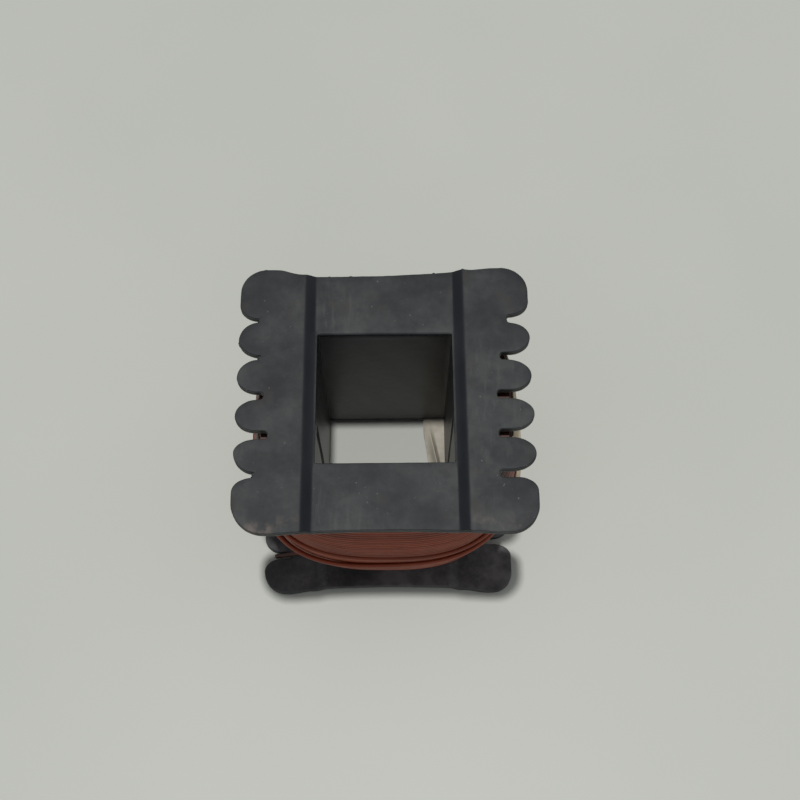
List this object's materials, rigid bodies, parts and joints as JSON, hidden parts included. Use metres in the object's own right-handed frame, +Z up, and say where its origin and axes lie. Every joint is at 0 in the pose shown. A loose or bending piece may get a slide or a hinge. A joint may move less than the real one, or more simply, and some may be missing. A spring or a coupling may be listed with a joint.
{
  "type": "bobbin inductor",
  "caption": "Coil of enamelled copper wire wound on a square black former with fingered flanges, open through the middle for a laminated core.",
  "frame": {"origin": "on the plane that the lower flange's wings rest on, under the middle of the core bore", "axes": "+Z up along the coil's axis, +X across the lamination stack towards a fingered side, +Y along the yoke channels"},
  "size_m": [0.047, 0.0452, 0.04],
  "materials": {
    "former": "matt black moulded nylon, dusty and scuffed",
    "wire": "enamelled copper, satin orange-brown",
    "tape": "cream adhesive tape, dull"
  },
  "bodies": {
    "root": {"bobbin": "former", "winding": "wire", "side_tape": "tape", "bottom_tape": "tape"}
  },
  "joints": []
}
